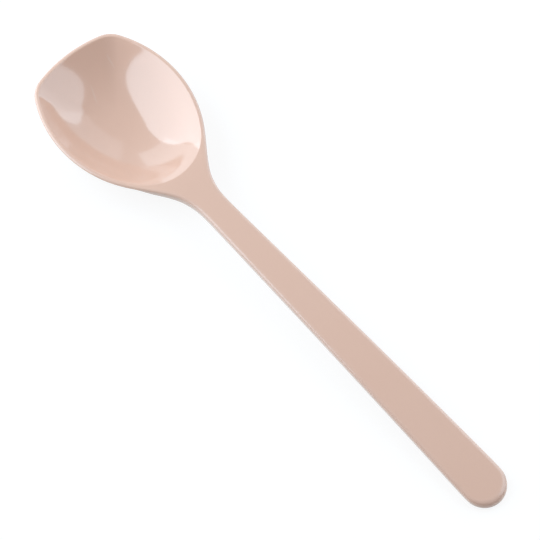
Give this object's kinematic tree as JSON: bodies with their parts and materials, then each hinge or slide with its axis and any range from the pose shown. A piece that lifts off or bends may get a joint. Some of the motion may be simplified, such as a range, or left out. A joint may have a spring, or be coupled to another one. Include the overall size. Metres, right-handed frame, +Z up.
{
  "type": "cooking spoon",
  "caption": "Moulded cooking spoon: broad deep bowl with a blunt front edge and rounded corners, flared neck, and a long flat handle that widens to a round end.",
  "frame": {"origin": "middle of the spoon's length and width, on the table that it rests on", "axes": "+X along the spoon from bowl to handle end, +Y across it, +Z up, as it lies on a table with the hollow of the bowl upwards"},
  "size_m": [0.2994, 0.0698, 0.0215],
  "materials": {
    "melamine": "gloss"
  },
  "bodies": {
    "root": {"bowl": "melamine", "neck": "melamine", "handle": "melamine"}
  },
  "joints": []
}
